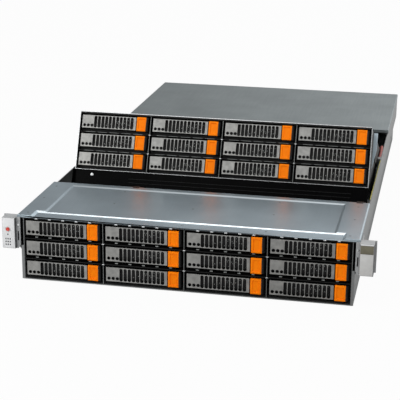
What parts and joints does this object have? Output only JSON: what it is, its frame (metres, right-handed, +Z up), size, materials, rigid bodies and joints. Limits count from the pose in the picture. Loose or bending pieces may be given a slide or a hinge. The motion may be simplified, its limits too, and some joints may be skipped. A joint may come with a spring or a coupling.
{
  "type": "disk shelf enclosure",
  "caption": "Rack disk shelf with a front bank of pull-out trays and a second bank in a cage that tilts up out of the open middle bay.",
  "frame": {"origin": "centre of the footprint, on the underside of the floor", "axes": "+X to the right seen from the front, +Y to the rear, +Z up"},
  "size_m": [0.478, 0.839, 0.1632],
  "materials": {
    "zinc_steel": "galvanised sheet",
    "black_steel": "matt black coat",
    "tray_alloy": "satin",
    "latch_orange": "moulded",
    "module_alloy": "plain sheet",
    "board": "solder mask",
    "ear_plastic": "silver grey moulding",
    "button_red": "polished",
    "cable": "sleeved"
  },
  "bodies": {
    "chassis": {"chassis_pan": "zinc_steel", "front_cover": "zinc_steel", "rear_cover": "zinc_steel", "front_cage": "black_steel", "front_backplane": "board", "air_baffle": "black_steel", "rear_modules": "module_alloy", "ears": "ear_plastic", "harness": "cable"},
    "cage": {"tilt_cage": "black_steel", "cage_backplane": "board"},
    "button": {"power_button": "button_red"},
    "front_tray_c1_r1_body": {"front_tray_c1_r1": "tray_alloy"},
    "front_latch_c1_r1_body": {"front_latch_c1_r1": "latch_orange"},
    "cage_tray_c1_r1_body": {"cage_tray_c1_r1": "tray_alloy"},
    "cage_latch_c1_r1_body": {"cage_latch_c1_r1": "latch_orange"},
    "front_tray_c1_r2_body": {"front_tray_c1_r2": "tray_alloy"},
    "front_latch_c1_r2_body": {"front_latch_c1_r2": "latch_orange"},
    "cage_tray_c1_r2_body": {"cage_tray_c1_r2": "tray_alloy"},
    "cage_latch_c1_r2_body": {"cage_latch_c1_r2": "latch_orange"},
    "front_tray_c1_r3_body": {"front_tray_c1_r3": "tray_alloy"},
    "front_latch_c1_r3_body": {"front_latch_c1_r3": "latch_orange"},
    "cage_tray_c1_r3_body": {"cage_tray_c1_r3": "tray_alloy"},
    "cage_latch_c1_r3_body": {"cage_latch_c1_r3": "latch_orange"},
    "front_tray_c2_r1_body": {"front_tray_c2_r1": "tray_alloy"},
    "front_latch_c2_r1_body": {"front_latch_c2_r1": "latch_orange"},
    "cage_tray_c2_r1_body": {"cage_tray_c2_r1": "tray_alloy"},
    "cage_latch_c2_r1_body": {"cage_latch_c2_r1": "latch_orange"},
    "front_tray_c2_r2_body": {"front_tray_c2_r2": "tray_alloy"},
    "front_latch_c2_r2_body": {"front_latch_c2_r2": "latch_orange"},
    "cage_tray_c2_r2_body": {"cage_tray_c2_r2": "tray_alloy"},
    "cage_latch_c2_r2_body": {"cage_latch_c2_r2": "latch_orange"},
    "front_tray_c2_r3_body": {"front_tray_c2_r3": "tray_alloy"},
    "front_latch_c2_r3_body": {"front_latch_c2_r3": "latch_orange"},
    "cage_tray_c2_r3_body": {"cage_tray_c2_r3": "tray_alloy"},
    "cage_latch_c2_r3_body": {"cage_latch_c2_r3": "latch_orange"},
    "front_tray_c3_r1_body": {"front_tray_c3_r1": "tray_alloy"},
    "front_latch_c3_r1_body": {"front_latch_c3_r1": "latch_orange"},
    "cage_tray_c3_r1_body": {"cage_tray_c3_r1": "tray_alloy"},
    "cage_latch_c3_r1_body": {"cage_latch_c3_r1": "latch_orange"},
    "front_tray_c3_r2_body": {"front_tray_c3_r2": "tray_alloy"},
    "front_latch_c3_r2_body": {"front_latch_c3_r2": "latch_orange"},
    "cage_tray_c3_r2_body": {"cage_tray_c3_r2": "tray_alloy"},
    "cage_latch_c3_r2_body": {"cage_latch_c3_r2": "latch_orange"},
    "front_tray_c3_r3_body": {"front_tray_c3_r3": "tray_alloy"},
    "front_latch_c3_r3_body": {"front_latch_c3_r3": "latch_orange"},
    "cage_tray_c3_r3_body": {"cage_tray_c3_r3": "tray_alloy"},
    "cage_latch_c3_r3_body": {"cage_latch_c3_r3": "latch_orange"},
    "front_tray_c4_r1_body": {"front_tray_c4_r1": "tray_alloy"},
    "front_latch_c4_r1_body": {"front_latch_c4_r1": "latch_orange"},
    "cage_tray_c4_r1_body": {"cage_tray_c4_r1": "tray_alloy"},
    "cage_latch_c4_r1_body": {"cage_latch_c4_r1": "latch_orange"},
    "front_tray_c4_r2_body": {"front_tray_c4_r2": "tray_alloy"},
    "front_latch_c4_r2_body": {"front_latch_c4_r2": "latch_orange"},
    "cage_tray_c4_r2_body": {"cage_tray_c4_r2": "tray_alloy"},
    "cage_latch_c4_r2_body": {"cage_latch_c4_r2": "latch_orange"},
    "front_tray_c4_r3_body": {"front_tray_c4_r3": "tray_alloy"},
    "front_latch_c4_r3_body": {"front_latch_c4_r3": "latch_orange"},
    "cage_tray_c4_r3_body": {"cage_tray_c4_r3": "tray_alloy"},
    "cage_latch_c4_r3_body": {"cage_latch_c4_r3": "latch_orange"}
  },
  "joints": [
    {"name": "cage_tilt", "type": "hinge", "parent": "chassis", "child": "cage", "pos_m": [0, 0.0292, 0.076], "axis": [-1, 0, 0], "range_deg": [-23, 0]},
    {"name": "button_press", "type": "slide", "parent": "chassis", "child": "button", "axis": [0, 1, 0], "range_m": [0, 0.0012], "stiffness_N_per_m": 400},
    {"name": "front_slide_c1_r1", "type": "slide", "parent": "chassis", "child": "front_tray_c1_r1_body", "axis": [0, -1, 0], "range_m": [0, 0.14]},
    {"name": "front_lever_c1_r1", "type": "hinge", "parent": "front_tray_c1_r1_body", "child": "front_latch_c1_r1_body", "pos_m": [-0.1116, -0.4105, 0.0155], "axis": [0, 0, 1], "range_deg": [0, 50], "stiffness_Nm_per_rad": 0.02},
    {"name": "cage_slide_c1_r1", "type": "slide", "parent": "cage", "child": "cage_tray_c1_r1_body", "axis": [0, -0.9205, 0.3907], "range_m": [0, 0.14]},
    {"name": "cage_lever_c1_r1", "type": "hinge", "parent": "cage_tray_c1_r1_body", "child": "cage_latch_c1_r1_body", "pos_m": [-0.1116, -0.17639, 0.09917], "axis": [0, 0.3907, 0.9205], "range_deg": [0, 50], "stiffness_Nm_per_rad": 0.02},
    {"name": "front_slide_c1_r2", "type": "slide", "parent": "chassis", "child": "front_tray_c1_r2_body", "axis": [0, -1, 0], "range_m": [0, 0.14]},
    {"name": "front_lever_c1_r2", "type": "hinge", "parent": "front_tray_c1_r2_body", "child": "front_latch_c1_r2_body", "pos_m": [-0.1116, -0.4105, 0.0428], "axis": [0, 0, 1], "range_deg": [0, 50], "stiffness_Nm_per_rad": 0.02},
    {"name": "cage_slide_c1_r2", "type": "slide", "parent": "cage", "child": "cage_tray_c1_r2_body", "axis": [0, -0.9205, 0.3907], "range_m": [0, 0.14]},
    {"name": "cage_lever_c1_r2", "type": "hinge", "parent": "cage_tray_c1_r2_body", "child": "cage_latch_c1_r2_body", "pos_m": [-0.1116, -0.16572, 0.1243], "axis": [0, 0.3907, 0.9205], "range_deg": [0, 50], "stiffness_Nm_per_rad": 0.02},
    {"name": "front_slide_c1_r3", "type": "slide", "parent": "chassis", "child": "front_tray_c1_r3_body", "axis": [0, -1, 0], "range_m": [0, 0.14]},
    {"name": "front_lever_c1_r3", "type": "hinge", "parent": "front_tray_c1_r3_body", "child": "front_latch_c1_r3_body", "pos_m": [-0.1116, -0.4105, 0.0701], "axis": [0, 0, 1], "range_deg": [0, 50], "stiffness_Nm_per_rad": 0.02},
    {"name": "cage_slide_c1_r3", "type": "slide", "parent": "cage", "child": "cage_tray_c1_r3_body", "axis": [0, -0.9205, 0.3907], "range_m": [0, 0.14]},
    {"name": "cage_lever_c1_r3", "type": "hinge", "parent": "cage_tray_c1_r3_body", "child": "cage_latch_c1_r3_body", "pos_m": [-0.1116, -0.15505, 0.14943], "axis": [0, 0.3907, 0.9205], "range_deg": [0, 50], "stiffness_Nm_per_rad": 0.02},
    {"name": "front_slide_c2_r1", "type": "slide", "parent": "chassis", "child": "front_tray_c2_r1_body", "axis": [0, -1, 0], "range_m": [0, 0.14]},
    {"name": "front_lever_c2_r1", "type": "hinge", "parent": "front_tray_c2_r1_body", "child": "front_latch_c2_r1_body", "pos_m": [-0.0062, -0.4105, 0.0155], "axis": [0, 0, 1], "range_deg": [0, 50], "stiffness_Nm_per_rad": 0.02},
    {"name": "cage_slide_c2_r1", "type": "slide", "parent": "cage", "child": "cage_tray_c2_r1_body", "axis": [0, -0.9205, 0.3907], "range_m": [0, 0.14]},
    {"name": "cage_lever_c2_r1", "type": "hinge", "parent": "cage_tray_c2_r1_body", "child": "cage_latch_c2_r1_body", "pos_m": [-0.0062, -0.17639, 0.09917], "axis": [0, 0.3907, 0.9205], "range_deg": [0, 50], "stiffness_Nm_per_rad": 0.02},
    {"name": "front_slide_c2_r2", "type": "slide", "parent": "chassis", "child": "front_tray_c2_r2_body", "axis": [0, -1, 0], "range_m": [0, 0.14]},
    {"name": "front_lever_c2_r2", "type": "hinge", "parent": "front_tray_c2_r2_body", "child": "front_latch_c2_r2_body", "pos_m": [-0.0062, -0.4105, 0.0428], "axis": [0, 0, 1], "range_deg": [0, 50], "stiffness_Nm_per_rad": 0.02},
    {"name": "cage_slide_c2_r2", "type": "slide", "parent": "cage", "child": "cage_tray_c2_r2_body", "axis": [0, -0.9205, 0.3907], "range_m": [0, 0.14]},
    {"name": "cage_lever_c2_r2", "type": "hinge", "parent": "cage_tray_c2_r2_body", "child": "cage_latch_c2_r2_body", "pos_m": [-0.0062, -0.16572, 0.1243], "axis": [0, 0.3907, 0.9205], "range_deg": [0, 50], "stiffness_Nm_per_rad": 0.02},
    {"name": "front_slide_c2_r3", "type": "slide", "parent": "chassis", "child": "front_tray_c2_r3_body", "axis": [0, -1, 0], "range_m": [0, 0.14]},
    {"name": "front_lever_c2_r3", "type": "hinge", "parent": "front_tray_c2_r3_body", "child": "front_latch_c2_r3_body", "pos_m": [-0.0062, -0.4105, 0.0701], "axis": [0, 0, 1], "range_deg": [0, 50], "stiffness_Nm_per_rad": 0.02},
    {"name": "cage_slide_c2_r3", "type": "slide", "parent": "cage", "child": "cage_tray_c2_r3_body", "axis": [0, -0.9205, 0.3907], "range_m": [0, 0.14]},
    {"name": "cage_lever_c2_r3", "type": "hinge", "parent": "cage_tray_c2_r3_body", "child": "cage_latch_c2_r3_body", "pos_m": [-0.0062, -0.15505, 0.14943], "axis": [0, 0.3907, 0.9205], "range_deg": [0, 50], "stiffness_Nm_per_rad": 0.02},
    {"name": "front_slide_c3_r1", "type": "slide", "parent": "chassis", "child": "front_tray_c3_r1_body", "axis": [0, -1, 0], "range_m": [0, 0.14]},
    {"name": "front_lever_c3_r1", "type": "hinge", "parent": "front_tray_c3_r1_body", "child": "front_latch_c3_r1_body", "pos_m": [0.0992, -0.4105, 0.0155], "axis": [0, 0, 1], "range_deg": [0, 50], "stiffness_Nm_per_rad": 0.02},
    {"name": "cage_slide_c3_r1", "type": "slide", "parent": "cage", "child": "cage_tray_c3_r1_body", "axis": [0, -0.9205, 0.3907], "range_m": [0, 0.14]},
    {"name": "cage_lever_c3_r1", "type": "hinge", "parent": "cage_tray_c3_r1_body", "child": "cage_latch_c3_r1_body", "pos_m": [0.0992, -0.17639, 0.09917], "axis": [0, 0.3907, 0.9205], "range_deg": [0, 50], "stiffness_Nm_per_rad": 0.02},
    {"name": "front_slide_c3_r2", "type": "slide", "parent": "chassis", "child": "front_tray_c3_r2_body", "axis": [0, -1, 0], "range_m": [0, 0.14]},
    {"name": "front_lever_c3_r2", "type": "hinge", "parent": "front_tray_c3_r2_body", "child": "front_latch_c3_r2_body", "pos_m": [0.0992, -0.4105, 0.0428], "axis": [0, 0, 1], "range_deg": [0, 50], "stiffness_Nm_per_rad": 0.02},
    {"name": "cage_slide_c3_r2", "type": "slide", "parent": "cage", "child": "cage_tray_c3_r2_body", "axis": [0, -0.9205, 0.3907], "range_m": [0, 0.14]},
    {"name": "cage_lever_c3_r2", "type": "hinge", "parent": "cage_tray_c3_r2_body", "child": "cage_latch_c3_r2_body", "pos_m": [0.0992, -0.16572, 0.1243], "axis": [0, 0.3907, 0.9205], "range_deg": [0, 50], "stiffness_Nm_per_rad": 0.02},
    {"name": "front_slide_c3_r3", "type": "slide", "parent": "chassis", "child": "front_tray_c3_r3_body", "axis": [0, -1, 0], "range_m": [0, 0.14]},
    {"name": "front_lever_c3_r3", "type": "hinge", "parent": "front_tray_c3_r3_body", "child": "front_latch_c3_r3_body", "pos_m": [0.0992, -0.4105, 0.0701], "axis": [0, 0, 1], "range_deg": [0, 50], "stiffness_Nm_per_rad": 0.02},
    {"name": "cage_slide_c3_r3", "type": "slide", "parent": "cage", "child": "cage_tray_c3_r3_body", "axis": [0, -0.9205, 0.3907], "range_m": [0, 0.14]},
    {"name": "cage_lever_c3_r3", "type": "hinge", "parent": "cage_tray_c3_r3_body", "child": "cage_latch_c3_r3_body", "pos_m": [0.0992, -0.15505, 0.14943], "axis": [0, 0.3907, 0.9205], "range_deg": [0, 50], "stiffness_Nm_per_rad": 0.02},
    {"name": "front_slide_c4_r1", "type": "slide", "parent": "chassis", "child": "front_tray_c4_r1_body", "axis": [0, -1, 0], "range_m": [0, 0.14]},
    {"name": "front_lever_c4_r1", "type": "hinge", "parent": "front_tray_c4_r1_body", "child": "front_latch_c4_r1_body", "pos_m": [0.2046, -0.4105, 0.0155], "axis": [0, 0, 1], "range_deg": [0, 50], "stiffness_Nm_per_rad": 0.02},
    {"name": "cage_slide_c4_r1", "type": "slide", "parent": "cage", "child": "cage_tray_c4_r1_body", "axis": [0, -0.9205, 0.3907], "range_m": [0, 0.14]},
    {"name": "cage_lever_c4_r1", "type": "hinge", "parent": "cage_tray_c4_r1_body", "child": "cage_latch_c4_r1_body", "pos_m": [0.2046, -0.17639, 0.09917], "axis": [0, 0.3907, 0.9205], "range_deg": [0, 50], "stiffness_Nm_per_rad": 0.02},
    {"name": "front_slide_c4_r2", "type": "slide", "parent": "chassis", "child": "front_tray_c4_r2_body", "axis": [0, -1, 0], "range_m": [0, 0.14]},
    {"name": "front_lever_c4_r2", "type": "hinge", "parent": "front_tray_c4_r2_body", "child": "front_latch_c4_r2_body", "pos_m": [0.2046, -0.4105, 0.0428], "axis": [0, 0, 1], "range_deg": [0, 50], "stiffness_Nm_per_rad": 0.02},
    {"name": "cage_slide_c4_r2", "type": "slide", "parent": "cage", "child": "cage_tray_c4_r2_body", "axis": [0, -0.9205, 0.3907], "range_m": [0, 0.14]},
    {"name": "cage_lever_c4_r2", "type": "hinge", "parent": "cage_tray_c4_r2_body", "child": "cage_latch_c4_r2_body", "pos_m": [0.2046, -0.16572, 0.1243], "axis": [0, 0.3907, 0.9205], "range_deg": [0, 50], "stiffness_Nm_per_rad": 0.02},
    {"name": "front_slide_c4_r3", "type": "slide", "parent": "chassis", "child": "front_tray_c4_r3_body", "axis": [0, -1, 0], "range_m": [0, 0.14]},
    {"name": "front_lever_c4_r3", "type": "hinge", "parent": "front_tray_c4_r3_body", "child": "front_latch_c4_r3_body", "pos_m": [0.2046, -0.4105, 0.0701], "axis": [0, 0, 1], "range_deg": [0, 50], "stiffness_Nm_per_rad": 0.02},
    {"name": "cage_slide_c4_r3", "type": "slide", "parent": "cage", "child": "cage_tray_c4_r3_body", "axis": [0, -0.9205, 0.3907], "range_m": [0, 0.14]},
    {"name": "cage_lever_c4_r3", "type": "hinge", "parent": "cage_tray_c4_r3_body", "child": "cage_latch_c4_r3_body", "pos_m": [0.2046, -0.15505, 0.14943], "axis": [0, 0.3907, 0.9205], "range_deg": [0, 50], "stiffness_Nm_per_rad": 0.02}
  ]
}
